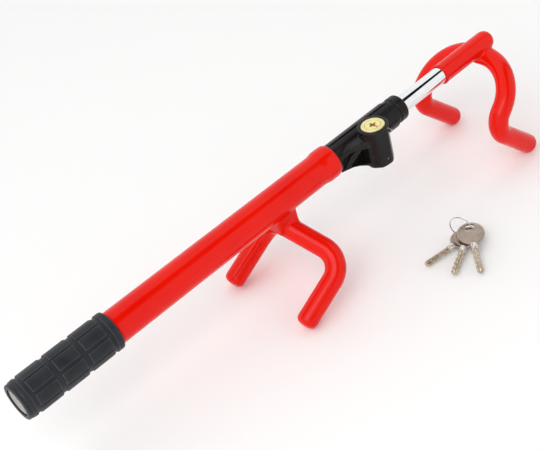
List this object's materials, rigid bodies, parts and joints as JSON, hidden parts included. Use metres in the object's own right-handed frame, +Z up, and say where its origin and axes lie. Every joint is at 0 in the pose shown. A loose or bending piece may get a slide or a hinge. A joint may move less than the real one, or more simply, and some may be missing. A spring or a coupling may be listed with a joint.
{
  "type": "steering wheel lock",
  "caption": "Telescoping steering wheel lock: a vinyl-coated tube with a moulded grip and a fixed double-prong hook, a sliding chromed rod with a second hook, a key lock between them, and keys.",
  "frame": {"origin": "on the floor under the middle of the whole object, keys included; the lock stands on its four prongs", "axes": "+X along the bar from the grip towards the upper hook, +Z up; the bar itself rises 2.07 degrees towards +X; the lock cylinder and the keys are on the -Y side"},
  "size_m": [0.5542, 0.1836, 0.1188],
  "materials": {
    "red_vinyl": "smooth glossy dip-coated PVC",
    "black_grip": "satin moulded grip",
    "grey_plastic": "satin moulded disc",
    "black_casting": "gloss black paint on a zinc casting",
    "black_rubber": "plain",
    "gold_brass": "fine turned, pale gold",
    "pin_brass": "turned",
    "chrome": "polished chrome plate",
    "white_nylon": "plain moulded",
    "key_nickel": "dull nickel plate",
    "key_bronze": "milled, worn nickel over brass",
    "spring_steel": "bright wire",
    "plain_steel": "plain"
  },
  "bodies": {
    "barrel": {"barrel_tube": "plain_steel", "barrel_coating": "red_vinyl", "grip": "black_grip", "grip_end_cap": "grey_plastic", "hook_spacer": "plain_steel", "lower_hook_bar": "plain_steel", "lower_hook_coating": "red_vinyl", "lock_housing": "black_casting", "housing_pin_near": "plain_steel", "housing_pin_far": "plain_steel", "rod_wiper": "black_rubber", "cylinder_body": "gold_brass", "cylinder_pin": "plain_steel", "boss_plug": "black_casting", "boss_plug_pin": "plain_steel", "driver_pin_1": "plain_steel", "driver_spring_1": "spring_steel", "driver_pin_2": "plain_steel", "driver_spring_2": "spring_steel", "driver_pin_3": "plain_steel", "driver_spring_3": "spring_steel", "driver_pin_4": "plain_steel", "driver_spring_4": "spring_steel"},
    "rod_carrier": {"rod_tail_bush": "white_nylon"},
    "rod": {"rod": "chrome", "rod_sleeve": "red_vinyl", "upper_hook_bar": "plain_steel", "upper_hook_coating": "red_vinyl"},
    "lock_plug": {"key_plug": "gold_brass", "lock_cam": "plain_steel", "tumbler_1": "pin_brass", "tumbler_2": "pin_brass", "tumbler_3": "pin_brass", "tumbler_4": "pin_brass"},
    "locking_bolt": {"locking_bolt": "plain_steel"},
    "key_ring": {"key_ring": "spring_steel"},
    "key_1": {"key_bow_1": "key_nickel", "key_blade_1": "key_bronze"},
    "key_2": {"key_bow_2": "key_nickel", "key_blade_2": "key_bronze"},
    "key_3": {"key_bow_3": "key_nickel", "key_blade_3": "key_bronze"}
  },
  "joints": [
    {"name": "rod_slide", "type": "slide", "parent": "barrel", "child": "rod_carrier", "axis": [0.9993, 0, 0.0361], "range_m": [0, 0.216]},
    {"name": "rod_turn", "type": "hinge", "parent": "rod_carrier", "child": "rod", "pos_m": [0.12312, 0.03493, 0.09975], "axis": [0.9993, 0, 0.0361], "continuous": true},
    {"name": "plug_turn", "type": "hinge", "parent": "barrel", "child": "lock_plug", "pos_m": [0.09873, 0.01573, 0.11828], "axis": [-0.0361, 0, 0.9993], "range_deg": [0, 90]},
    {"name": "bolt_slide", "type": "slide", "parent": "barrel", "child": "locking_bolt", "axis": [0, 1, 0], "range_m": [0, 0.00215]},
    {"name": "keys_lift", "type": "slide", "parent": "barrel", "child": "key_ring", "axis": [0, 0, 1], "range_m": [0, 0.15]},
    {"name": "key_1_swing", "type": "hinge", "parent": "key_ring", "child": "key_1", "pos_m": [0.12888, -0.05157, 0.0045], "axis": [-0.0207, 0.0029, 0.9998], "range_deg": [-4, 0]},
    {"name": "key_2_swing", "type": "hinge", "parent": "key_ring", "child": "key_2", "pos_m": [0.12888, -0.05157, 0.0086], "axis": [-0.0891, -0.0397, 0.9952], "range_deg": [-6, 6]},
    {"name": "key_3_swing", "type": "hinge", "parent": "key_ring", "child": "key_3", "pos_m": [0.12888, -0.05157, 0.013], "axis": [-0.116, -0.1383, 0.9836], "range_deg": [0, 35]}
  ],
  "couplings": [
    {"joint": "bolt_slide", "follows": "plug_turn", "m_per_rad": 0.0013505}
  ]
}
